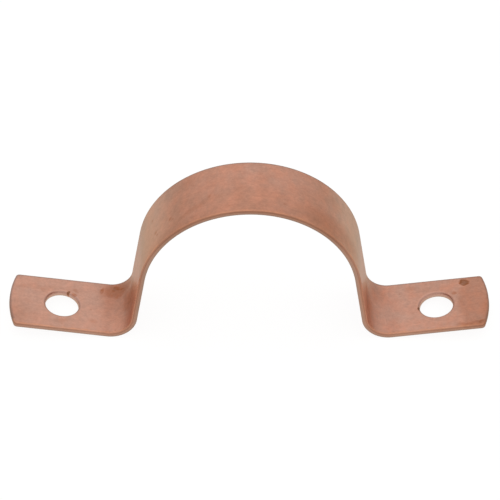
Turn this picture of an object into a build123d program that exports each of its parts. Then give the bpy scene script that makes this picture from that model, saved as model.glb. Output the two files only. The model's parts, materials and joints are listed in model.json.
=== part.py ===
"""Two-hole saddle clip for copper tube, folded from one strip of soft copper.

X runs from ear to ear, Y along the tube and Z away from the wall. The origin lies on the wall
under the middle of the tube, and the clip stands there on its two bends.
"""

import math
import os

from build123d import *

# Tube and screws that the clip is made for
TUBE_DIAMETER = 28.0
SCREW_DIAMETER = 4.5
SCREW_HEAD_DIAMETER = 9.0

# Strip
STRIP_WIDTH = 10.4
STRIP_THICKNESS = 0.85
EDGE_ROUND = 0.15  # rolled-over rim all round the blank

# Pressed shape, with legs upright and bends square
BEND_INSIDE_RADIUS = 3.1
GRIP_NIP = 2.0  # gap to the wall when the arch first touches the tube, taken up by the screws

# Free shape: each leg swings out by this angle and carries its ear with it
SPRING_BACK = 8.4

# Ears
HEAD_TO_BEND = 2.3
HEAD_TO_TIP = 3.3
EAR_CROWN = 0.9  # how far the middle of the rounded end stands past its corners
EAR_CORNER_RADIUS = 0.6
SCREW_CLEARANCE = 0.45  # on the diameter
HOLE_ROLLOVER = 0.4  # drawn-in rim on the side the punch came from
TRIM_ALLOWANCE = 2.0  # blank left past each ear for the cropping die

half_thickness = STRIP_THICKNESS / 2
half_width = STRIP_WIDTH / 2
quarter_turn = math.degrees(math.pi / 2)

# Middle line of the strip: the arch keeps the length that once lay half way round the tube
pressed_radius = TUBE_DIAMETER / 2 + half_thickness
arch_half_angle = quarter_turn - SPRING_BACK
arch_radius = pressed_radius * quarter_turn / arch_half_angle
bend_radius = BEND_INSIDE_RADIUS + half_thickness
leg_length = TUBE_DIAMETER / 2 - GRIP_NIP - BEND_INSIDE_RADIUS - STRIP_THICKNESS

# Ear, measured from the end of the bend
hole_from_bend = HEAD_TO_BEND + SCREW_HEAD_DIAMETER / 2
ear_length = hole_from_bend + SCREW_HEAD_DIAMETER / 2 + HEAD_TO_TIP
hole_radius = (SCREW_DIAMETER + SCREW_CLEARANCE) / 2
crown_radius = (half_width**2 + EAR_CROWN**2) / (2 * EAR_CROWN)

# Directions on the +X side, down the leg and out along the ear
swing = math.radians(SPRING_BACK)
leg_down = Vector(math.sin(swing), 0, -math.cos(swing))
ear_out = Vector(math.cos(swing), 0, math.sin(swing))

# Height of the arch's centre that puts the underside of the bends on the wall
drop_to_bend = leg_length * math.cos(swing) - (arch_radius + bend_radius) * math.sin(swing)
arch_centre_height = drop_to_bend + bend_radius + half_thickness

# Start of the ear on the middle line
arch_centre = Vector(0, 0, arch_centre_height)
bend_centre = arch_centre + ear_out * (arch_radius + bend_radius) + leg_down * leg_length
ear_start = bend_centre + leg_down * bend_radius

# Middle planes of the ears, each with its X towards the tip and its Z up
right_ear = Plane(ear_start, ear_out, -leg_down)
left_ear = Plane(
    (-ear_start.X, 0, ear_start.Z),
    (-ear_out.X, 0, ear_out.Z),
    (leg_down.X, 0, -leg_down.Z),
)


def fold_line(offset):
    """Draw one face of the strip, from the crown over leg and bend to the end of the blank."""
    crown = (0, arch_centre_height + arch_radius + offset)
    arch = JernArc(crown, (1, 0), arch_radius + offset, -arch_half_angle)
    leg = Line(arch @ 1, arch @ 1 + (arch % 1) * leg_length)
    bend = JernArc(leg @ 1, leg % 1, bend_radius - offset, quarter_turn)
    ear = Line(bend @ 1, bend @ 1 + (bend % 1) * (ear_length + TRIM_ALLOWANCE))
    return ear @ 1


with BuildPart() as clip:
    # Folded blank
    with BuildSketch(Plane.XZ):
        with BuildLine():
            upper_end = fold_line(half_thickness)
            lower_end = fold_line(-half_thickness)
            Line(upper_end, lower_end)
            mirror(about=Plane.YZ)
        make_face()
    extrude(amount=half_width, both=True)

    # Crowned ends, cropped and then taken off at the corners
    with BuildSketch(right_ear, left_ear):
        with Locations((ear_length, 0)):
            Rectangle(2 * (EAR_CROWN + TRIM_ALLOWANCE), STRIP_WIDTH + TRIM_ALLOWANCE)
        with Locations((ear_length - crown_radius, 0)):
            Circle(crown_radius, mode=Mode.SUBTRACT)
    extrude(amount=STRIP_THICKNESS, both=True, mode=Mode.SUBTRACT)
    corners = clip.edges(Select.NEW).filter_by(GeomType.LINE)
    fillet(corners, EAR_CORNER_RADIUS)

    # Rim of the blank, on its upper and lower skins
    seams = clip.edges().filter_by(Axis.Y)
    skins = clip.faces().filter_by(lambda face: len(face.edges().filter_by(Axis.Y)) > 0)
    fillet(skins.edges() - seams, EDGE_ROUND)

    # Screw holes, punched from above
    with BuildSketch(right_ear, left_ear):
        with Locations((hole_from_bend, 0)):
            Circle(hole_radius)
    extrude(amount=STRIP_THICKNESS, both=True, mode=Mode.SUBTRACT)
    hole_rims = clip.edges(Select.NEW).filter_by(GeomType.CIRCLE)
    fillet(hole_rims.group_by(Axis.Z)[-1], HOLE_ROLLOVER)

clip.part.label = "clip_strip"

os.makedirs("parts", exist_ok=True)
export_step(clip.part, "parts/clip_strip.step")
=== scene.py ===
"""Copper saddle clip, folded from one strip, and the plain stage that it stands on."""

import json
import math

import bpy
from bpy.props import FloatProperty, FloatVectorProperty, PointerProperty
from mathutils import Matrix, Vector
from mathutils.geometry import delaunay_2d_cdt


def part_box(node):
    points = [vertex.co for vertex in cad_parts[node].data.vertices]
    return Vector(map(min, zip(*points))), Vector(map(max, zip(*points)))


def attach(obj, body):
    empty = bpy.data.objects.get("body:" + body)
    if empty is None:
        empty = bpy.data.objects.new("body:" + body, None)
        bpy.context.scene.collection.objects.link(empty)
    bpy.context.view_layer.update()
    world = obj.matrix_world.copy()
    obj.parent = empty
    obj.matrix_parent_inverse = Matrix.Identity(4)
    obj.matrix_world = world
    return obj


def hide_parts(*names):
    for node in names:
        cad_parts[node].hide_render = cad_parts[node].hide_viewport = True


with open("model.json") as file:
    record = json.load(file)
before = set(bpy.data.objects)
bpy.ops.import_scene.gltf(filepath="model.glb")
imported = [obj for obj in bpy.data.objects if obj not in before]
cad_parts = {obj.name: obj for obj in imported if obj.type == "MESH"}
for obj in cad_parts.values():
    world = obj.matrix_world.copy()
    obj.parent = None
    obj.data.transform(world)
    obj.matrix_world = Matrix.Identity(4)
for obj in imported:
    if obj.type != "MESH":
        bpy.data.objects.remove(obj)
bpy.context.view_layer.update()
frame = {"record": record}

bl_info = {
    "name": "Copper pipe clip",
    "version": (1, 0, 0),
    "blender": (4, 5, 0),
    "location": "3D View > Sidebar > Pipe clip",
    "description": "Builds a folded copper saddle clip and the stage that it stands on",
    "category": "Object",
}

MM = 0.001
NODE = "clip_strip"
LOW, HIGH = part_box(NODE)
MOUNTS = {mount["name"]: mount for mount in frame["record"]["mounts"]}
SEAT = MOUNTS["tube_seat"]
HOLE = MOUNTS["right_screw_hole"]
SEAT_HEIGHT = SEAT["pos_m"][2]
SEAT_RADIUS = SEAT["dims"]["r_mm"] * MM
THICKNESS = HIGH.z - SEAT_HEIGHT - SEAT_RADIUS
SPRING_BACK = math.asin(-HOLE["axis"][0])


def linear(code):
    """Turn an sRGB hex colour into the linear values that colour sockets hold."""
    channels = [int(code[i:i + 2], 16) / 255 for i in (1, 3, 5)]
    return tuple(c / 12.92 if c <= 0.04045 else ((c + 0.055) / 1.055) ** 2.4 for c in channels)


def add(tree, kind, inputs=None, **settings):
    """Add one node with its settings; an input is a value to hold, or a node or socket to link from."""
    node = tree.nodes.new(kind)
    for name, value in settings.items():
        setattr(node, name, value)
    for key, value in (inputs or {}).items():
        if isinstance(value, bpy.types.Node):
            value = next(socket for socket in value.outputs if socket.enabled)
        if isinstance(value, bpy.types.NodeSocket):
            tree.links.new(value, node.inputs[key])
        else:
            node.inputs[key].default_value = value
    return node


# Sizes, finish and stage that a user would change

class ClipSizes(bpy.types.PropertyGroup):
    """Sizes of the folded strip."""
    seat_radius: FloatProperty(
        name="Seat radius", description="Inside radius of the arch as the clip lies free",
        default=SEAT_RADIUS, unit="LENGTH")
    seat_height: FloatProperty(
        name="Seat height", description="Height of the arch's centre over the wall",
        default=SEAT_HEIGHT, unit="LENGTH")
    spring_back: FloatProperty(
        name="Spring-back", description="Angle that each leg has swung out, with its ear",
        default=SPRING_BACK, unit="ROTATION")
    width: FloatProperty(
        name="Strip width", description="Width of the strip along the tube",
        default=HIGH.y - LOW.y, unit="LENGTH")
    thickness: FloatProperty(
        name="Strip thickness", description="Thickness of the strip",
        default=THICKNESS, unit="LENGTH")
    bend_radius: FloatProperty(
        name="Bend radius", description="Inside radius of the bend between leg and ear",
        default=3.1 * MM, unit="LENGTH")
    edge_round: FloatProperty(
        name="Edge round", description="Radius of the rim rolled over round the blank",
        default=0.15 * MM, unit="LENGTH")
    ear_crown: FloatProperty(
        name="Ear crown", description="How far the middle of an ear's end stands past its corners",
        default=0.9 * MM, unit="LENGTH")
    corner_radius: FloatProperty(
        name="Corner radius", description="Radius of the ear's corners seen from above",
        default=0.6 * MM, unit="LENGTH")
    hole_radius: FloatProperty(
        name="Hole radius", description="Radius of the screw hole's wall",
        default=HOLE["dims"]["r_mm"] * MM, unit="LENGTH")
    hole_rollover: FloatProperty(
        name="Hole rollover", description="Drawn-in rim on the side that the punch came from",
        default=0.4 * MM, unit="LENGTH")
    waviness: FloatProperty(
        name="Waviness", description="Share of its thickness that the rolled strip lacks in its hollows",
        default=0.03, min=0.0, max=0.2, subtype="FACTOR")


class CopperFinish(bpy.types.PropertyGroup):
    """Colours and gloss of the copper."""
    dull: FloatVectorProperty(
        name="Dull copper", description="Tan of the arch, under a thin film of tarnish",
        default=linear("#BE8B75"), subtype="COLOR", size=3)
    clean: FloatVectorProperty(
        name="Clean copper", description="Paler pink of the ears, handled less",
        default=linear("#C39785"), subtype="COLOR", size=3)
    # Partly painted reflection: this greyer tan lays the pale floor, mirrored in the flanks and upper legs,
    # in with the weathering
    weathered_and_sheen: FloatVectorProperty(
        name="Weathered copper", description="Greyer tan of the arch's flanks and the upper legs",
        default=linear("#B69485"), subtype="COLOR", size=3)
    rosy: FloatVectorProperty(
        name="Rosy copper", description="Redder pink of the freshest patches",
        default=linear("#C58870"), subtype="COLOR", size=3)
    stain: FloatVectorProperty(
        name="Stain", description="Brown of the heavier tarnish marks",
        default=linear("#9C572C"), subtype="COLOR", size=3)
    burnt: FloatVectorProperty(
        name="Burnt mark", description="Grey-brown at the heart of the heaviest marks",
        default=linear("#6E5A4C"), subtype="COLOR", size=3)
    # Painted highlight: bright orange along the front rims only, where the rolled edge catches the light
    front_rim_highlight: FloatVectorProperty(
        name="Rubbed rim", description="Bright orange of rims rubbed back to metal",
        default=linear("#CB9070"), subtype="COLOR", size=3)
    # Painted shade: greyer tan along the back rims and the holes' rolled rims, standing in for the shade on
    # edges that turn away from the light
    shaded_rim: FloatVectorProperty(
        name="Grimed rim", description="Greyer tan of the rims that face away from wear",
        default=linear("#A38175"), subtype="COLOR", size=3)
    # Partly painted reflection: the torn band is real, and its paler grey low on the edge stands in for the
    # floor that it mirrors
    torn_and_sheen: FloatVectorProperty(
        name="Torn edge", description="Grey-tan of the torn band low on the cut edges",
        default=linear("#B29482"), subtype="COLOR", size=3)
    glancing: FloatVectorProperty(
        name="Glancing tint",
        description="How much of each colour the metal throws back at a glancing angle",
        default=linear("#DACFBB"), subtype="COLOR", size=3)
    roughness: FloatProperty(
        name="Roughness", description="Roughness of the rolled skin, before its patches and marks",
        default=0.305, min=0.0, max=1.0, subtype="FACTOR")
    oil: FloatProperty(
        name="Oil",
        description="Share of the skin under a thin film of rolling oil, which mirrors at a glancing angle",
        default=0.1, min=0.0, max=1.0, subtype="FACTOR")


class StageSettings(bpy.types.PropertyGroup):
    """Floor, light and camera."""
    floor_size: FloatProperty(
        name="Floor size", description="Side of the pale floor", default=3.0, unit="LENGTH")
    floor_colour: FloatVectorProperty(
        name="Floor colour", description="Pale paper of the floor",
        default=linear("#E8E7E5"), subtype="COLOR", size=3)
    elevation: FloatProperty(
        name="Camera height", description="Angle of the camera above the horizon",
        default=math.radians(43.29), unit="ROTATION")
    swing: FloatProperty(
        name="Camera swing", description="How far the camera stands round to the left of the tube's line",
        default=math.radians(0.74), unit="ROTATION")
    roll: FloatProperty(
        name="Camera roll", description="How far the camera leans out of level",
        default=math.radians(0.71), unit="ROTATION")
    distance: FloatProperty(
        name="Camera distance", description="Distance from the camera to the point it looks at",
        default=0.65, unit="LENGTH")
    view_width: FloatProperty(
        name="View width", description="Width of the view at that point",
        default=73.27 * MM, unit="LENGTH")
    aim: FloatVectorProperty(
        name="Aim", description="Point that the camera looks at",
        default=(0.03 * MM, 1.87 * MM, 11.03 * MM), subtype="TRANSLATION", unit="LENGTH", size=3)
    horizon: FloatProperty(
        name="Horizon level", description="Brightness of the tent where it meets the floor",
        default=0.7, min=0.0)
    zenith: FloatProperty(
        name="Zenith level", description="Brightness of the tent overhead", default=1.1, min=0.0)
    lamp_size: FloatProperty(
        name="Lamp size", description="Side of the soft lamp overhead", default=1.0, unit="LENGTH")
    lamp_height: FloatProperty(
        name="Lamp height", description="Height of the soft lamp over the floor",
        default=1.2, unit="LENGTH")
    lamp_power: FloatProperty(
        name="Lamp power", description="Power of the soft lamp overhead", default=0.6, unit="POWER")


# Lengths along the strip's middle line

def strip_lengths(sizes):
    """Work out the runs of the strip from the crown out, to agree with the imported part."""
    half = sizes.thickness / 2
    arch = sizes.seat_radius + half
    bend = sizes.bend_radius + half
    out = Vector((math.cos(sizes.spring_back), 0, math.sin(sizes.spring_back)))
    down = Vector((math.sin(sizes.spring_back), 0, -math.cos(sizes.spring_back)))
    reach = Vector(HOLE["pos_m"]) - Vector((0, 0, sizes.seat_height))
    leg = reach.dot(down) - bend
    arch_end = arch * (math.pi / 2 - sizes.spring_back)
    leg_end = arch_end + leg
    ear_start = leg_end + bend * math.pi / 2
    hole = ear_start + reach.dot(out) - arch - bend
    bend_exit = out.x * (arch + bend) + down.x * (leg + bend)
    edge = sizes.edge_round
    tip = (HIGH.x - bend_exit - edge - down.x * (half - edge)) / out.x + edge + ear_start
    return {"half": half, "arch": arch, "bend": bend, "leg": leg, "arch_end": arch_end,
            "leg_end": leg_end, "ear_start": ear_start, "hole": hole, "tip": tip}


# Flat blank

ARCH_STEP = 0.4 * MM
LEG_STEP = 0.5 * MM
BEND_STEP = 0.22 * MM
EAR_STEP = 0.45 * MM
ACROSS_STEP = 0.45 * MM
CORNER_STEP = math.radians(9)
HOLE_STEP = math.radians(3.75)
QUARTER_TURN = [math.radians(15 * i) for i in range(7)]
RIM_HOLD = 0.06 * MM  # flat band beside a rim, so that its shading doesn't run on into the skin
LOWER_BREAK = 0.04 * MM  # edge broken by the punch below a hole
BREAK_MIDDLE = 0.3  # share of the break that is left half way round it
SIDE_MARGIN = 0.5 * MM  # skin kept free of inner points along the sides, and round the holes
HOLE_MARGIN = 0.2 * MM
PLACES_APART = 9  # decimals, in metres, to which two points have to agree to be one
INSIDE_ONLY = 1  # kind of triangulation that keeps to the inside of the outline


def spread(start, end, step):
    """Even stations from start up to, but not including, end."""
    count = max(1, round(abs(end - start) / step))
    return [start + (end - start) * i / count for i in range(count)]


def blank_outline(sizes, runs):
    """Outline of the flat blank, counter-clockwise, as places with inward directions, and its stations."""
    half_width = sizes.width / 2
    crown = (half_width ** 2 + sizes.ear_crown ** 2) / (2 * sizes.ear_crown)
    crown_centre = runs["tip"] - crown
    corner_v = half_width - sizes.corner_radius
    corner_s = crown_centre + math.sqrt((crown - sizes.corner_radius) ** 2 - corner_v ** 2)
    sweep = math.asin(corner_v / (crown - sizes.corner_radius))
    side = (spread(0, runs["arch_end"], ARCH_STEP)
            + spread(runs["arch_end"], runs["leg_end"], LEG_STEP)
            + spread(runs["leg_end"], runs["ear_start"], BEND_STEP)
            + spread(runs["ear_start"], corner_s, EAR_STEP))
    quarter = [(Vector((s, -half_width)), Vector((0, 1))) for s in side]
    for angle in spread(-math.pi / 2, -sweep, CORNER_STEP):
        ray = Vector((math.cos(angle), math.sin(angle)))
        quarter.append((Vector((corner_s, -corner_v)) + ray * sizes.corner_radius, -ray))
    for angle in spread(-sweep, 0, EAR_STEP / crown):
        ray = Vector((math.cos(angle), math.sin(angle)))
        quarter.append((Vector((crown_centre, 0)) + ray * crown, -ray))
    tip = [(Vector((runs["tip"], 0)), Vector((-1, 0)))]
    flip_v, flip_s = Vector((1, -1)), Vector((-1, 1))
    right = quarter + tip + [(p * flip_v, n * flip_v) for p, n in reversed(quarter)]
    left = [(p * flip_s, n * flip_s) for p, n in reversed(right)]
    return right + left[1:-1], side


def hole_ring(sizes, centre):
    """Wall of one screw hole, as places with directions into the metal."""
    rays = [Vector((math.cos(a), math.sin(a))) for a in spread(0, 2 * math.pi, HOLE_STEP)]
    return [(Vector((centre, 0)) + ray * sizes.hole_radius, ray) for ray in rays]


def rim_profiles(sizes, half):
    """Sections of the rolled rim and of the punched hole: distance in from the edge, and height."""
    edge, roll = sizes.edge_round, sizes.hole_rollover
    rim = ([(edge + RIM_HOLD, half)]
           + [(edge * (1 - math.sin(a)), half - edge * (1 - math.cos(a))) for a in QUARTER_TURN]
           + [(0, 0)]
           + [(edge * (1 - math.cos(a)), edge * (1 - math.sin(a)) - half) for a in QUARTER_TURN]
           + [(edge + RIM_HOLD, -half)])
    middle = LOWER_BREAK * BREAK_MIDDLE
    bore = ([(roll + RIM_HOLD, half)]
            + [(roll * (1 - math.sin(a)), half - roll * (1 - math.cos(a))) for a in QUARTER_TURN]
            + [(0, LOWER_BREAK - half), (middle, middle - half)]
            + [(LOWER_BREAK, -half), (LOWER_BREAK + RIM_HOLD, -half)])
    return rim, bore


def blank_mesh(sizes, runs):
    """Mesh of the flat blank with rolled rims, crowned ends and punched holes: X along, Y across."""
    half = runs["half"]
    outline, side = blank_outline(sizes, runs)
    rim, bore = rim_profiles(sizes, half)
    verts, faces, depths = [], [], []

    def band(ring, profile, outward):
        """Sweep a rim's profile round a ring; gives back its upper and lower rows of vertices."""
        first, count = len(verts), len(ring)
        for inset, height in profile:
            verts.extend((*(place + inward * inset), height) for place, inward in ring)
            depths.extend([inset] * count)
        for row in range(len(profile) - 1):
            a, b = first + row * count, first + (row + 1) * count
            for i in range(count):
                j = (i + 1) % count
                quad = (a + i, b + i, b + j, a + j)
                faces.append(quad if outward else quad[::-1])
        return range(first, first + count), range(len(verts) - count, len(verts))

    # Rims of the blank and of both holes
    rings = [(outline, rim, True)]
    rings += [(hole_ring(sizes, centre), bore, False) for centre in (-runs["hole"], runs["hole"])]
    upper, lower = [], []
    for ring, profile, outward in rings:
        top, bottom = band(ring, profile, outward)
        upper.append(list(top))
        lower.append(list(bottom))

    # Upper and lower skins between those rims
    columns = spread(-sizes.width / 2 + SIDE_MARGIN, sizes.width / 2 - SIDE_MARGIN, ACROSS_STEP)
    columns.append(sizes.width / 2 - SIDE_MARGIN)
    stations = sorted({round(s, PLACES_APART) for s in side} | {round(-s, PLACES_APART) for s in side})
    for loops, height in ((upper, half), (lower, -half)):
        lip = sizes.hole_rollover if height > 0 else LOWER_BREAK
        clear = sizes.hole_radius + lip + RIM_HOLD + HOLE_MARGIN
        inner = [(s, v) for s in stations for v in columns
                 if math.hypot(abs(s) - runs["hole"], v) > clear]
        first = len(verts)
        verts.extend((s, v, height) for s, v in inner)
        depths.extend(min(sizes.width / 2 - abs(v), runs["tip"] - abs(s),
                          math.hypot(abs(s) - runs["hole"], v) - sizes.hole_radius) for s, v in inner)
        ids = [i for loop in loops for i in loop] + list(range(first, len(verts)))
        bounds, start = [], 0
        for loop in loops:
            bounds += [(start + i, start + (i + 1) % len(loop)) for i in range(len(loop))]
            start += len(loop)
        flat = [Vector(verts[i][:2]) for i in ids]
        _, _, triangles, origins, _, _ = delaunay_2d_cdt(
            flat, bounds, [], INSIDE_ONLY, 10 ** -PLACES_APART)
        for triangle in triangles:
            corners = [origins[i][0] for i in triangle]
            middle = sum((flat[i] for i in corners), Vector((0, 0))) / 3
            if math.hypot(abs(middle.x) - runs["hole"], middle.y) < clear - HOLE_MARGIN:
                continue
            a, b, c = (flat[i] for i in corners)
            if ((b - a).cross(c - a) > 0) != (height > 0):
                corners.reverse()
            faces.append(tuple(ids[i] for i in corners))
    mesh = bpy.data.meshes.new("Flat copper blank")
    mesh.from_pydata(verts, [], faces)
    if mesh.validate():
        raise RuntimeError("the flat blank has faulty faces")
    mesh.attributes.new("rim", "FLOAT", "POINT").data.foreach_set("value", depths)
    return mesh


# Folding

WAVE_SIZE = 9 * MM  # size of the rolled strip's hollows
WAVE_SEED = 3.0
FOLD_INPUTS = (
    "Arch radius", "Leg length", "Bend radius", "Seat height", "Waviness", "Spring-back", "Seed")
FOLD_STEPS = (
    # name, operation, terms
    # shallow hollows of the rolled strip, which only take from its true thickness
    ("hollow", "MULTIPLY", "wave", "Waviness"),
    ("fullness", "SUBTRACT", 1.0, "hollow"),
    ("through", "MULTIPLY", "w", "fullness"),
    # how far a point has gone round the arch, down the leg, round the bend and out along the ear
    ("along", "ABSOLUTE", "s"),
    ("half angle", "SUBTRACT", math.pi / 2, "Spring-back"),
    ("arch run", "MULTIPLY", "half angle", "Arch radius"),
    ("free turn", "DIVIDE", "along", "Arch radius"),
    ("turn", "MINIMUM", "free turn", "half angle"),
    ("past arch", "SUBTRACT", "along", "arch run"),
    ("past crown", "MAXIMUM", "past arch", 0.0),
    ("leg run", "MINIMUM", "past crown", "Leg length"),
    ("past leg", "SUBTRACT", "past crown", "leg run"),
    ("free bend", "DIVIDE", "past leg", "Bend radius"),
    ("bend turn", "MINIMUM", "free bend", math.pi / 2),
    ("bend run", "MULTIPLY", "bend turn", "Bend radius"),
    ("ear run", "SUBTRACT", "past leg", "bend run"),
    # angles as lengths along the leg's and the ear's directions
    ("turn sine", "SINE", "turn"),
    ("turn cosine", "COSINE", "turn"),
    ("spring sine", "SINE", "Spring-back"),
    ("spring cosine", "COSINE", "Spring-back"),
    ("bend sine", "SINE", "bend turn"),
    ("bend cosine", "COSINE", "bend turn"),
    ("bend rise", "SUBTRACT", 1.0, "bend cosine"),
    ("bend fall", "MULTIPLY", "Bend radius", "bend sine"),
    ("fall", "ADD", "leg run", "bend fall"),
    ("bend out", "MULTIPLY", "Bend radius", "bend rise"),
    ("go out", "ADD", "ear run", "bend out"),
    # off the arch by the middle radius and, as far as the strip isn't turned, by the place in its thickness
    ("through arch", "MULTIPLY", "through", "bend cosine"),
    ("off arch", "ADD", "Arch radius", "through arch"),
    ("through leg", "MULTIPLY", "through", "bend sine"),
    ("down leg", "SUBTRACT", "fall", "through leg"),
    ("x arch", "MULTIPLY", "off arch", "turn sine"),
    ("x leg", "MULTIPLY", "down leg", "spring sine"),
    ("x ear", "MULTIPLY", "go out", "spring cosine"),
    ("x bent", "ADD", "x arch", "x leg"),
    ("x half", "ADD", "x bent", "x ear"),
    ("side", "SIGN", "s"),
    ("x", "MULTIPLY", "x half", "side"),
    ("z arch", "MULTIPLY", "off arch", "turn cosine"),
    ("z leg", "MULTIPLY", "down leg", "spring cosine"),
    ("z ear", "MULTIPLY", "go out", "spring sine"),
    ("z bent", "SUBTRACT", "z arch", "z leg"),
    ("z half", "ADD", "z bent", "z ear"),
    ("z", "ADD", "z half", "Seat height"),
)


def fold_tree(copper):
    """Node tree that folds a flat blank over the tube and keeps each point's flat place as "strip"."""
    tree = bpy.data.node_groups.new("Fold copper strip", "GeometryNodeTree")
    tree.is_modifier = True
    tree.interface.new_socket("Blank", in_out="INPUT", socket_type="NodeSocketGeometry")
    for name in FOLD_INPUTS:
        tree.interface.new_socket(name, in_out="INPUT", socket_type="NodeSocketFloat")
    tree.interface.new_socket("Clip", in_out="OUTPUT", socket_type="NodeSocketGeometry")
    given = add(tree, "NodeGroupInput")
    place = add(tree, "GeometryNodeInputPosition")
    flat = add(tree, "ShaderNodeSeparateXYZ", {0: place})
    known = {socket.name: socket for socket in given.outputs}
    known.update(zip("svw", flat.outputs))
    wave_at = add(tree, "ShaderNodeCombineXYZ", {0: known["s"], 1: known["v"], 2: known["Seed"]})
    known["wave"] = add(tree, "ShaderNodeTexNoise", {
        "Vector": wave_at, "Scale": 1 / WAVE_SIZE, "Detail": 1.0})
    for name, operation, *terms in FOLD_STEPS:
        inputs = {i: known.get(term, term) for i, term in enumerate(terms)}
        known[name] = add(tree, "ShaderNodeMath", inputs, operation=operation, label=name)
    folded = add(tree, "ShaderNodeCombineXYZ", {0: known["x"], 1: known["v"], 2: known["z"]})
    kept = add(tree, "GeometryNodeStoreNamedAttribute", {
        "Geometry": known["Blank"], "Name": "strip", "Value": place},
        data_type="FLOAT_VECTOR", domain="POINT")
    moved = add(tree, "GeometryNodeSetPosition", {"Geometry": kept, "Position": folded})
    smooth = add(tree, "GeometryNodeSetShadeSmooth", {"Geometry": moved})
    whole = add(tree, "GeometryNodeRealizeInstances", {"Geometry": smooth})
    dressed = add(tree, "GeometryNodeSetMaterial", {"Geometry": whole, "Material": copper})
    add(tree, "NodeGroupOutput", {"Clip": dressed})
    return tree


# Materials

# Copper strip, cold rolled and then annealed. It gives the eye a matt pink-tan metal: the rolls leave
# faint streaks along the strip, the heat leaves a patchy film that greys the flanks and browns the bends,
# the grey partly a painted reflection of the pale floor and the brown partly painted shade, the shears
# leave a smooth band and a paler torn band on the cut edges, the paleness partly a painted floor
# reflection, and handling leaves brown spots. Painted light lifts the legs, the arch's shoulders, the
# bends' fronts and the holes and picks out the front rims; painted shade darkens the back rims.

SKINS_APART = 40.0  # stretch through the thickness, so that the two skins have different patterns
WANDER_SIZE = 1.3  # mm from one turn of a mark's border to the next
WANDER_REACH = 1.2  # mm from side to side that the border wanders at most
MARK_DEPTH = 0.7  # mm below the outer skin that a mark reaches, so the inner skin shows little of it
WEATHER_SHEEN_SLANT = -1.1  # mm that the weathering and its painted floor reflection end higher on the legs, for each mm towards the front
WEATHER_SHEEN_PATCHES = -4.0  # mm that its lower border swings with the patches
RELIEF = 0.003 * MM  # height of the roll lines
OIL_ROUGHNESS = 0.12
NOISE_MIDDLE = (0.5, 0.5, 0.5)
PATTERNS = (
    # name, size along and across the strip in mm, detail, noise levels that give 0 and 1
    # real roll lines, scratches and grain are about 0.03 mm across, too fine to show in the render,
    # so streak, scratch and grain are drawn coarser, just as coarse as they need to be seen
    ("patch", 7.0, 5.0, 3.0, 0.36, 0.64),
    ("mottle", 1.7, 2.6, 2.0, 0.34, 0.66),
    ("blot", 0.8, 0.7, 2.0, 0.32, 0.68),
    ("streak", 14.0, 0.32, 3.0, 0.3, 0.7),
    ("grain", 0.34, 0.28, 2.0, 0.25, 0.75),
    ("scratch", 7.0, 0.16, 1.0, 0.64, 0.74),
    ("speck", 0.55, 0.45, 1.0, 0.72, 0.8),
)
FILMS = (
    # even tarnish, in places also painted shade: along, across, half length, half width (mm), turn
    # (degrees), softness, depth
    # left ear
    (-50.4, -3.2, 2.4, 2.8, 0, 0.9, 0.22),
    (-46.0, 2.9, 4.6, 0.5, 0, 0.8, 0.1),
    # left bend and leg: tarnish, with painted shade of the bend and of the dark reflection low on the leg
    (-35.4, 1.4, 0.7, 1.6, 0, 0.7, 0.22),
    (-34.8, 3.0, 2.6, 5.2, 0, 0.7, 0.27),
    (-34.8, 3.5, 2.4, 1.7, 0, 0.5, 0.57),
    (-32.6, 0.8, 1.3, 2.4, 0, 0.7, 0.45),
    (-31.0, 0.9, 2.6, 1.1, -35, 0.8, 0.36),
    (-28.4, -2.2, 2.6, 1.6, -30, 0.9, 0.16),
    # arch
    (-13.0, -4.9, 7.0, 1.2, 0, 0.8, 0.16),
    (-9.6, 3.4, 1.4, 1.0, 0, 0.8, 0.12),
    (-9.0, -2.6, 3.4, 0.5, 17, 0.8, 0.16),
    (-1.6, -0.5, 0.8, 5.0, 0, 0.8, 0.1),
    (2.0, 0.5, 0.9, 5.0, 0, 0.8, 0.1),
    (4.2, -2.0, 1.6, 1.5, 0, 0.8, 0.11),
    (4.5, -4.6, 8.0, 2.0, 0, 0.9, 0.12),
    (13.4, -3.4, 5.6, 2.4, 0, 0.7, 0.33),
    (14.0, 2.2, 1.8, 1.6, 0, 0.8, 0.11),
    # right leg and bend: tarnish, with painted shade of the bend
    (34.0, 0.0, 1.6, 9.0, 0, 0.6, 0.04),
    (34.2, 2.9, 1.6, 2.2, 0, 0.7, 0.22),
    # right ear
    (43.0, 3.4, 4.5, 1.4, 0, 0.8, 0.1),
    (46.0, 0.0, 3.0, 9.0, 0, 0.8, 0.07),
    (48.8, -4.7, 2.4, 0.6, 0, 0.7, 0.55),
    (49.4, 0.0, 3.1, 6.5, 0, 0.25, 0.34),
    (50.6, -1.8, 1.0, 4.0, 0, 0.8, 0.42),
)
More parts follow.
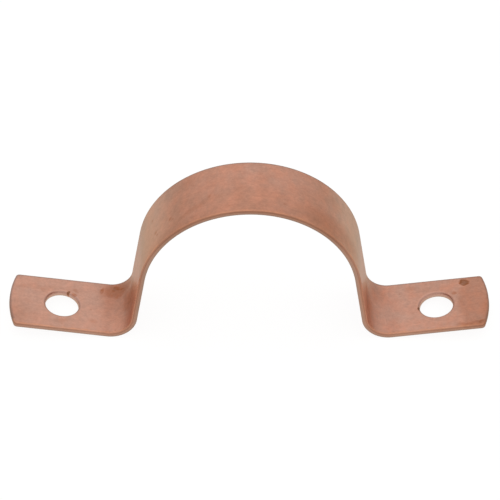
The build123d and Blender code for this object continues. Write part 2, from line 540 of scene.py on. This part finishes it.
SPOTS = (
    # blotched tarnish, laid out in the same way
    # left ear
    (-48.8, 2.9, 0.8, 0.4, 0, 0.5, 0.18),
    (-45.9, 2.6, 0.5, 0.4, 0, 0.6, 0.25),
    (-43.2, -3.6, 1.0, 0.3, 10, 0.7, 0.25),
    (-42.1, 2.4, 0.3, 0.25, 0, 0.4, 1.4),
    (-41.4, 2.1, 0.3, 0.22, -40, 0.4, 0.7),
    (-41.2, 2.9, 0.5, 0.3, -35, 0.6, 0.4),
    (-38.4, -3.2, 0.6, 0.4, 0, 0.7, 0.25),
    # left bend and leg
    (-37.2, 3.6, 0.3, 0.8, -15, 0.5, 0.8),
    (-36.3, 3.4, 0.8, 0.7, 0, 0.6, 0.65),
    (-35.2, 2.6, 1.3, 0.7, 0, 0.7, 0.65),
    (-35.0, 3.9, 1.2, 0.8, 0, 0.6, 0.92),
    (-33.9, 3.4, 1.2, 0.9, 25, 0.6, 0.84),
    (-32.8, 3.6, 1.0, 0.7, 0, 0.7, 0.6),
    # arch
    (-16.9, 1.6, 0.24, 0.22, 0, 0.7, 0.5),
    (-15.9, -1.8, 0.3, 0.24, 30, 0.7, 0.6),
    (-15.4, -2.6, 0.22, 0.2, 0, 0.7, 0.5),
    (-12.4, -1.7, 0.3, 0.24, 40, 0.7, 0.55),
    (-11.9, -2.2, 0.2, 0.2, 0, 0.7, 0.45),
    (-5.8, -0.9, 0.22, 0.35, 0, 0.7, 0.4),
    (4.8, -2.9, 0.3, 0.25, 0, 0.7, 0.45),
    (14.7, -2.6, 0.26, 0.22, 0, 0.7, 0.55),
    # right ear
    (39.5, 3.9, 1.1, 0.5, 0, 0.7, 0.3),
    (40.5, -0.5, 0.2, 0.4, 0, 0.4, 1.5),
    (45.9, 2.2, 0.5, 0.4, 0, 0.5, 0.6),
    (47.3, 4.15, 0.75, 0.65, 0, 0.3, 1.15),
    (47.6, 3.1, 0.3, 0.4, 0, 0.6, 0.3),
    (49.5, -4.5, 1.0, 0.4, 20, 0.5, 0.9),
    (50.1, -2.2, 0.3, 1.3, 0, 0.7, 0.3),
)
RAMPS = (
    # name, what it follows (mm), where it starts, where it ends
    ("flank in", "along", 10.0, 16.0),
    ("flank out", "slant", 29.0, 23.5),
    ("ear", "along", 25.0, 38.0),
    ("back", "v", -4.6, 5.1),
    ("fore", "v", 0.5, -3.5),
    ("left", "s", 8.0, -8.0),
    ("wall", "edge", 0.11, 0.03),
    ("rolled", "edge", 0.45, 0.12),
    ("past arch", "along", 16.0, 26.0),
    ("bore", "radius", 3.1, 2.9),
    ("front", "v", -4.0, -4.5),
    ("rim shadow band", "edge", 0.4, 0.1),
    ("low", "w", 0.25, -0.3),
    ("line low", "w", 0.04, 0.16),
    ("line high", "w", 0.34, 0.22),
    ("shoulder in", "along", 13.0, 17.0),
    ("shoulder out", "along", 22.5, 18.0),
    ("leg in", "along", 20.0, 25.0),
    ("leg out", "along", 33.5, 30.5),
    ("bend out", "along", 38.5, 35.5),
    ("foot in", "along", 30.0, 34.5),
    ("foot out", "along", 42.0, 38.0),
)
MIXES = (
    # numbers worked out from the patterns, the marks and the ramps: name, operation, terms
    # shares of the paler, the greyer and the redder copper
    # paler towards the back edge of the strip, darker towards the front
    ("paler by side", "MULTIPLY", "back", 0.55),
    ("clean by place", "ADD", "ear", "paler by side"),
    ("patch swing", "MULTIPLY_ADD", "patch", 0.5, -0.25),
    ("clean", "ADD", "clean by place", "patch swing"),
    ("flank", "MULTIPLY", "flank in", "flank out"),
    # greyer weathering of the flanks, partly a painted reflection of the pale floor; on the legs it ends
    # along the slanted line where that reflection ends
    ("weather and sheen by side", "MULTIPLY_ADD", "left", -0.22, 0.72),
    ("weather and sheen share", "MULTIPLY_ADD", "back", 0.36, "weather and sheen by side"),
    ("weathered_and_sheen", "MULTIPLY", "flank", "weather and sheen share"),
    ("left ear", "MULTIPLY", "left", "ear"),
    ("rosy by side", "MULTIPLY_ADD", "left ear", -0.25, 0.6),
    ("rosy share", "MULTIPLY_ADD", "flank", -0.4, "rosy by side"),
    ("rosy", "MULTIPLY", "mottle", "rosy share"),
    # tarnish
    ("blotched", "MULTIPLY_ADD", "blot", 0.6, 0.4),
    ("spotted", "MULTIPLY", "spot", "blotched"),
    ("burnt", "SUBTRACT", "spot", 0.8),
    ("specked", "MULTIPLY", "speck", 0.3),
    ("filmed", "MAXIMUM", "film", "specked"),
    ("stain", "MAXIMUM", "spotted", "filmed"),
    # rims
    # painted highlight along the front rims, broken up by the mottle
    ("front rim", "MULTIPLY", "rolled", "front"),
    ("highlight share", "MULTIPLY_ADD", "mottle", 0.7, 0.15),
    ("front_rim_highlight", "MULTIPLY", "front rim", "highlight share"),
    ("off front", "SUBTRACT", 1.0, "front"),
    ("off bore", "SUBTRACT", 1.0, "bore"),
    # painted shade along the back rims, a little less round the holes
    ("back rim", "MULTIPLY", "rim shadow band", "off front"),
    ("rim shadow share", "MULTIPLY_ADD", "bore", -0.3, 1.0),
    ("shaded_rim", "MULTIPLY", "back rim", "rim shadow share"),
    # brightness, added up from one feature to the next
    ("streak shade", "MULTIPLY_ADD", "streak", 0.05, 0.79),
    ("grain shade", "MULTIPLY_ADD", "grain", 0.14, "streak shade"),
    ("blot shade", "MULTIPLY_ADD", "blot", 0.11, "grain shade"),
    ("mottle shade", "MULTIPLY_ADD", "mottle", 0.09, "blot shade"),
    # painted light: the holes' walls and rolled rims are lifted, standing in for the white floor that they
    # mirror
    ("bored", "MULTIPLY", "wall", "bore"),
    ("bore shade", "MULTIPLY_ADD", "bored", 0.22, "mottle shade"),
    ("hole rim", "MULTIPLY", "rolled", "bore"),
    ("rim shade", "MULTIPLY_ADD", "hole rim", 0.1, "bore shade"),
    ("cut", "MULTIPLY", "wall", "off bore"),
    ("cut shade", "MULTIPLY_ADD", "past arch", 0.07, -0.17),
    ("wall shade", "MULTIPLY_ADD", "cut", "cut shade", "rim shade"),
    ("line up", "MULTIPLY", "line low", "line high"),
    ("line", "MULTIPLY", "cut", "line up"),
    ("line depth", "MULTIPLY_ADD", "mottle", -0.25, -0.08),
    ("line shade", "MULTIPLY_ADD", "line", "line depth", "wall shade"),
    # painted light: the arch's shoulders are lifted, more at the back, standing in for the bright floor
    # that they mirror near the horizon
    ("shoulder", "MULTIPLY", "shoulder in", "shoulder out"),
    ("shoulder shade", "MULTIPLY_ADD", "shoulder", 0.1, "line shade"),
    ("shoulder back", "MULTIPLY", "shoulder", "back"),
    ("back shade", "MULTIPLY_ADD", "shoulder back", 0.05, "shoulder shade"),
    # painted light: the legs' skin is lifted, less at the back and on the cut edges, standing in for light
    # that the bends and ears throw back onto it
    ("leg", "MULTIPLY", "leg in", "leg out"),
    ("leg skin", "MULTIPLY_ADD", "cut", -0.6, 1.0),
    ("leg lift", "MULTIPLY_ADD", "back", -0.12, 0.25),
    ("skin lift", "MULTIPLY", "leg skin", "leg lift"),
    ("leg shade", "MULTIPLY_ADD", "leg", "skin lift", "back shade"),
    # painted light on the front of the bends
    ("foot", "MULTIPLY", "foot in", "foot out"),
    ("foot front", "MULTIPLY", "foot", "fore"),
    ("foot shade", "MULTIPLY_ADD", "foot front", 0.05, "leg shade"),
    ("shade", "MULTIPLY_ADD", "left ear", 0.015, "foot shade"),
    # torn band of the cut edges, paler low down, partly a painted reflection of the floor
    ("torn and sheen wall", "MULTIPLY", "wall", "low"),
    ("torn_and_sheen", "MULTIPLY", "torn and sheen wall", 0.9),
    # roughness, added up in the same way
    ("patch rough", "MULTIPLY_ADD", "patch", 0.06, "roughness"),
    ("streak rough", "MULTIPLY_ADD", "streak", 0.05, "patch rough"),
    ("mark rough", "MULTIPLY_ADD", "stain", 0.2, "streak rough"),
    ("bend", "MULTIPLY", "leg in", "bend out"),
    ("bend rough", "MULTIPLY_ADD", "bend", 0.14, "mark rough"),
    ("wall rough", "MULTIPLY_ADD", "wall", 0.12, "bend rough"),
    # relief
    ("grain height", "MULTIPLY_ADD", "grain", 0.6, "streak"),
    ("height", "MULTIPLY_ADD", "scratch", -1.0, "grain height"),
)
LAYERS = ("clean", "weathered_and_sheen", "rosy", "front_rim_highlight", "shaded_rim", "torn_and_sheen", "stain", "burnt")  # from the bottom up


def copper_material(finish, runs):
    """Copper skin painted by each point's place on the flat strip and its distance from the cut edges."""
    material = bpy.data.materials.new("Annealed copper strip")
    material.use_nodes = True
    tree = material.node_tree
    tree.nodes.clear()
    strip = add(tree, "ShaderNodeAttribute", attribute_name="strip")
    place = add(tree, "ShaderNodeVectorMath", {
        0: strip.outputs["Vector"], "Scale": 1 / MM}, operation="SCALE")
    axes = add(tree, "ShaderNodeSeparateXYZ", {0: place})
    rim = add(tree, "ShaderNodeAttribute", attribute_name="rim")
    known = dict(zip("svw", axes.outputs))
    known["along"] = add(tree, "ShaderNodeMath", {0: known["s"]}, operation="ABSOLUTE")
    known["edge"] = add(tree, "ShaderNodeMath", {0: rim.outputs["Fac"], 1: 1 / MM}, operation="MULTIPLY")
    spoke = add(tree, "ShaderNodeCombineXYZ", {0: known["along"], 1: known["v"], 2: 0.0})
    known["radius"] = add(tree, "ShaderNodeVectorMath", {
        0: spoke, 1: (runs["hole"] / MM, 0, 0)}, operation="DISTANCE")
    known["roughness"] = finish.roughness

    # Patterns, with the two skins set far apart so that they differ
    apart = add(tree, "ShaderNodeVectorMath", {0: place, 1: (1.0, 1.0, SKINS_APART)}, operation="MULTIPLY")
    for name, along, across, detail, low, high in PATTERNS:
        scaled = add(tree, "ShaderNodeVectorMath", {
            0: apart, 1: (1 / along, 1 / across, 1.0)}, operation="MULTIPLY")
        noise = add(tree, "ShaderNodeTexNoise", {"Vector": scaled, "Scale": 1.0, "Detail": detail})
        known[name] = add(tree, "ShaderNodeMapRange", {
            "Value": noise, "From Min": low, "From Max": high}, label=name)

    # Ramps along, across and through the strip; the weathering, with its painted floor reflection, reaches
    # further down the legs at the back
    slant = add(tree, "ShaderNodeMath", {
        0: known["v"], 1: WEATHER_SHEEN_SLANT, 2: known["along"]}, operation="MULTIPLY_ADD")
    known["slant"] = add(tree, "ShaderNodeMath", {
        0: known["patch"], 1: WEATHER_SHEEN_PATCHES, 2: slant}, operation="MULTIPLY_ADD")
    for name, source, start, end in RAMPS:
        known[name] = add(tree, "ShaderNodeMapRange", {
            "Value": known[source], "From Min": start, "From Max": end},
            interpolation_type="SMOOTHSTEP", label=name)

    # Tarnish on the outer skin, with painted shade at the bends, and borders that wander by about half a
    # millimetre
    wander = add(tree, "ShaderNodeTexNoise", {"Vector": place, "Scale": 1 / WANDER_SIZE, "Detail": 3.0})
    offset = add(tree, "ShaderNodeVectorMath", {
        0: wander.outputs["Color"], 1: NOISE_MIDDLE}, operation="SUBTRACT")
    moved = add(tree, "ShaderNodeVectorMath", {
        0: offset, 1: (WANDER_REACH, WANDER_REACH, 0.0), 2: place}, operation="MULTIPLY_ADD")
    for name, marks in (("film", FILMS), ("spot", SPOTS)):
        known[name] = 0.0
        for s, v, long, wide, turn, soft, depth in marks:
            local = add(tree, "ShaderNodeMapping", {
                "Vector": moved, "Location": (s, v, runs["half"] / MM),
                "Rotation": (0, 0, math.radians(turn)), "Scale": (long, wide, MARK_DEPTH)},
                vector_type="TEXTURE")
            reach = add(tree, "ShaderNodeVectorMath", {0: local}, operation="LENGTH")
            mark = add(tree, "ShaderNodeMapRange", {
                "Value": reach, "From Min": 1 + soft, "From Max": 1 - soft, "To Max": depth},
                interpolation_type="SMOOTHSTEP")
            known[name] = add(tree, "ShaderNodeMath", {0: known[name], 1: mark}, operation="MAXIMUM")

    for name, operation, *terms in MIXES:
        inputs = {i: known.get(term, term) for i, term in enumerate(terms)}
        known[name] = add(tree, "ShaderNodeMath", inputs, operation=operation, label=name)

    # Colour, layer upon layer, then brightness and relief
    colour = (*finish.dull, 1)
    for name in LAYERS:
        colour = add(tree, "ShaderNodeMix", {
            0: known[name], 6: colour, 7: (*getattr(finish, name), 1)}, data_type="RGBA")
    colour = add(tree, "ShaderNodeVectorMath", {0: colour, "Scale": known["shade"]}, operation="SCALE")
    bump = add(tree, "ShaderNodeBump", {"Strength": 1.0, "Distance": RELIEF, "Height": known["height"]})
    shader = add(tree, "ShaderNodeBsdfPrincipled", {
        "Base Color": colour, "Metallic": 1.0, "Roughness": known["wall rough"], "Normal": bump,
        "Specular Tint": (*finish.glancing, 1), "Coat Weight": finish.oil,
        "Coat Roughness": OIL_ROUGHNESS})
    add(tree, "ShaderNodeOutputMaterial", {0: shader})
    return material


# Paper, uncoated, from a roll. It gives the eye an even white without gloss, which also shows in the metal,
# and it takes the clip's soft shadow.

PAPER_SHARE = 0.88  # how far the paper's own light hides that shadow
PAPER_LIGHT = 1.05


def floor_material(stage):
    """Matt white paper under the clip, which the camera and the metal see as white."""
    material = bpy.data.materials.new("Matt white paper")
    material.use_nodes = True
    tree = material.node_tree
    tree.nodes.clear()
    ray = add(tree, "ShaderNodeLightPath").outputs
    mirrored = add(tree, "ShaderNodeMath", {
        0: ray["Is Glossy Ray"], 1: ray["Is Transmission Ray"]}, operation="MAXIMUM")
    seen = add(tree, "ShaderNodeMath", {0: ray["Is Camera Ray"], 1: mirrored}, operation="MAXIMUM")
    share = add(tree, "ShaderNodeMath", {0: seen, 1: PAPER_SHARE}, operation="MULTIPLY")
    paper = add(tree, "ShaderNodeBsdfDiffuse", {0: (*stage.floor_colour, 1)})
    white = add(tree, "ShaderNodeEmission", {0: (1, 1, 1, 1), 1: PAPER_LIGHT})
    both = add(tree, "ShaderNodeMixShader", {0: share, 1: paper, 2: white})
    add(tree, "ShaderNodeOutputMaterial", {0: both})
    return material


# Operators

TENT_CURVE = 0.7  # below 1 the tent brightens fastest just above the horizon
VIEW_END = 10.0  # how far the camera sees, in metres


class PIPECLIP_OT_strip(bpy.types.Operator):
    """Build the copper strip: a flat blank, punched and cropped, then folded by a node tree"""
    bl_idname = "pipeclip.strip"
    bl_label = "Copper strip"

    def execute(self, context):
        scene = context.scene
        sizes = scene.clip_sizes
        runs = strip_lengths(sizes)
        copper = copper_material(scene.copper_finish, runs)
        blank = bpy.data.objects.new("flat_blank", blank_mesh(sizes, runs))
        scene.collection.objects.link(blank)
        tree = fold_tree(copper)
        modifier = blank.modifiers.new("Fold", "NODES")
        modifier.node_group = tree
        values = {"Arch radius": runs["arch"], "Leg length": runs["leg"], "Bend radius": runs["bend"],
                  "Seat height": sizes.seat_height, "Waviness": sizes.waviness,
                  "Spring-back": sizes.spring_back, "Seed": WAVE_SEED}
        for socket in tree.interface.items_tree:
            if socket.in_out == "INPUT" and socket.name in values:
                modifier[socket.identifier] = values[socket.name]
        evaluated = blank.evaluated_get(context.evaluated_depsgraph_get())
        mesh = bpy.data.meshes.new_from_object(evaluated)
        mesh.name = "copper_strip"
        blank.modifiers.remove(modifier)
        bpy.data.objects.remove(blank)
        strip = bpy.data.objects.new("copper_strip", mesh)
        scene.collection.objects.link(strip)
        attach(strip, "root")
        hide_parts(NODE)
        return {"FINISHED"}


class PIPECLIP_OT_stage(bpy.types.Operator):
    """Lay the pale floor, hang the soft light and stand the camera"""
    bl_idname = "pipeclip.stage"
    bl_label = "Stage"

    def execute(self, context):
        scene = context.scene
        stage = scene.clip_stage
        side = stage.floor_size / 2
        mesh = bpy.data.meshes.new("paper_floor")
        corners = [(-side, -side, 0), (side, -side, 0), (side, side, 0), (-side, side, 0)]
        mesh.from_pydata(corners, [], [(0, 1, 2, 3)])
        mesh.materials.append(floor_material(stage))
        floor = bpy.data.objects.new("paper_floor", mesh)
        scene.collection.objects.link(floor)

        # Tent of white cloth, darker towards the horizon
        world = bpy.data.worlds.new("Studio tent")
        world.use_nodes = True
        scene.world = world
        tree = world.node_tree
        tree.nodes.clear()
        way = add(tree, "ShaderNodeTexCoord")
        axes = add(tree, "ShaderNodeSeparateXYZ", {0: way.outputs["Generated"]})
        height = add(tree, "ShaderNodeMath", {0: axes.outputs[2], 1: 0.0}, operation="MAXIMUM")
        rise = add(tree, "ShaderNodeMath", {0: height, 1: TENT_CURVE}, operation="POWER")
        glow = add(tree, "ShaderNodeMapRange", {
            "Value": rise, "To Min": stage.horizon, "To Max": stage.zenith})
        tent = add(tree, "ShaderNodeBackground", {"Color": (1, 1, 1, 1), "Strength": glow})
        add(tree, "ShaderNodeOutputWorld", {0: tent})

        # Soft lamp overhead
        lamp_data = bpy.data.lights.new("soft_lamp", "AREA")
        lamp_data.size = stage.lamp_size
        lamp_data.energy = stage.lamp_power
        lamp = bpy.data.objects.new("soft_lamp", lamp_data)
        lamp.location = (0, 0, stage.lamp_height)
        scene.collection.objects.link(lamp)

        # Camera, aimed and then rolled
        right = Vector((math.cos(stage.swing), -math.sin(stage.swing), 0))
        level = Vector((math.sin(stage.swing), math.cos(stage.swing), 0))
        forward = level * math.cos(stage.elevation) - Vector((0, 0, math.sin(stage.elevation)))
        up = right.cross(forward)
        across = right * math.cos(stage.roll) + up * math.sin(stage.roll)
        above = across.cross(forward)
        camera_data = bpy.data.cameras.new("camera")
        camera_data.lens = camera_data.sensor_width * stage.distance / stage.view_width
        camera_data.clip_end = VIEW_END
        camera = bpy.data.objects.new("camera", camera_data)
        scene.collection.objects.link(camera)
        turn = Matrix((across, above, -forward)).transposed().to_4x4()
        camera.matrix_world = Matrix.Translation(Vector(stage.aim) - forward * stage.distance) @ turn
        scene.camera = camera
        scene.view_settings.view_transform = "Standard"
        return {"FINISHED"}


class PIPECLIP_PT_panel(bpy.types.Panel):
    """Buttons and sizes of the pipe clip"""
    bl_label = "Pipe clip"
    bl_idname = "PIPECLIP_PT_panel"
    bl_space_type = "VIEW_3D"
    bl_region_type = "UI"
    bl_category = "Pipe clip"

    def draw(self, context):
        scene = context.scene
        for operator, group in ((PIPECLIP_OT_strip, scene.clip_sizes), (None, scene.copper_finish),
                                (PIPECLIP_OT_stage, scene.clip_stage)):
            box = self.layout.box()
            if operator:
                box.operator(operator.bl_idname)
            for name in group.bl_rna.properties.keys():
                if name not in ("rna_type", "name"):
                    box.prop(group, name)


CLASSES = (ClipSizes, CopperFinish, StageSettings, PIPECLIP_OT_strip, PIPECLIP_OT_stage, PIPECLIP_PT_panel)


def register():
    for cls in CLASSES:
        bpy.utils.register_class(cls)
    bpy.types.Scene.clip_sizes = PointerProperty(type=ClipSizes)
    bpy.types.Scene.copper_finish = PointerProperty(type=CopperFinish)
    bpy.types.Scene.clip_stage = PointerProperty(type=StageSettings)


def unregister():
    del bpy.types.Scene.clip_stage
    del bpy.types.Scene.copper_finish
    del bpy.types.Scene.clip_sizes
    for cls in reversed(CLASSES):
        bpy.utils.unregister_class(cls)


def main():
    register()
    bpy.ops.pipeclip.strip()
    bpy.ops.pipeclip.stage()


if __name__ == "__main__":
    main()
